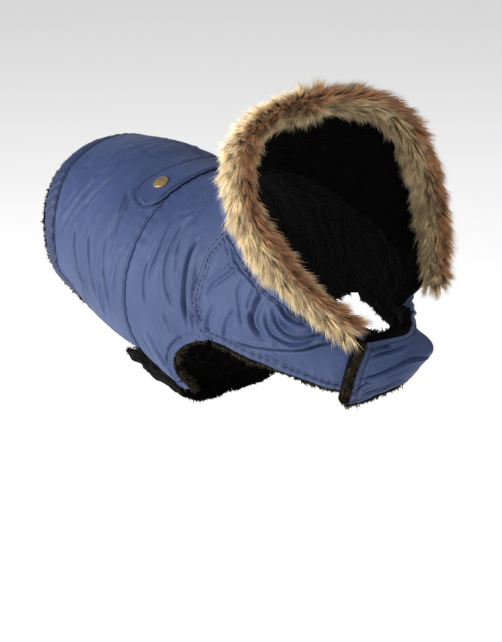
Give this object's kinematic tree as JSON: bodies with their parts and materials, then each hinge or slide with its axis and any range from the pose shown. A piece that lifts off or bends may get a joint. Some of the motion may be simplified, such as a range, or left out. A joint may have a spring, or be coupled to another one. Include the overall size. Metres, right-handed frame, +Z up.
{
  "type": "dog winter coat",
  "caption": "Padded dog coat as worn, with a standing fur-edged hood, dark pile lining, snapped half belt on the back, pile belly band and chest flap, open at neck, legs and hem.",
  "frame": {"origin": "on the inner face of the back lining, on the spine, where the coat lies on the wearer's back", "axes": "+X to the wearer's head, +Y to the wearer's left, +Z up"},
  "size_m": [0.4663, 0.2379, 0.3391],
  "materials": {
    "shell_cloth": "matte woven cloth, faint sheen",
    "hem_cloth": "matte woven cloth, faint sheen",
    "pile_lining": "short curly pile, matte",
    "pile_edge": "short curly pile, matte",
    "fur": "long soft fur",
    "snap_brass": "satin, slightly aged"
  },
  "bodies": {
    "root": {"skirt_shell": "shell_cloth", "hem_casing": "hem_cloth", "skirt_lining": "pile_lining", "flap_edge_roll": "pile_edge", "belly_flap": "pile_lining", "half_belt": "shell_cloth", "snap_right": "snap_brass", "snap_left": "snap_brass", "body_shell": "shell_cloth", "body_lining": "pile_lining", "front_right_shell": "shell_cloth", "front_right_lining": "pile_lining", "front_left_shell": "shell_cloth", "front_left_lining": "pile_lining", "hood_right_shell": "shell_cloth", "hood_right_lining": "pile_lining", "hood_left_shell": "shell_cloth", "hood_left_lining": "pile_lining", "fur_trim": "fur"}
  },
  "joints": []
}
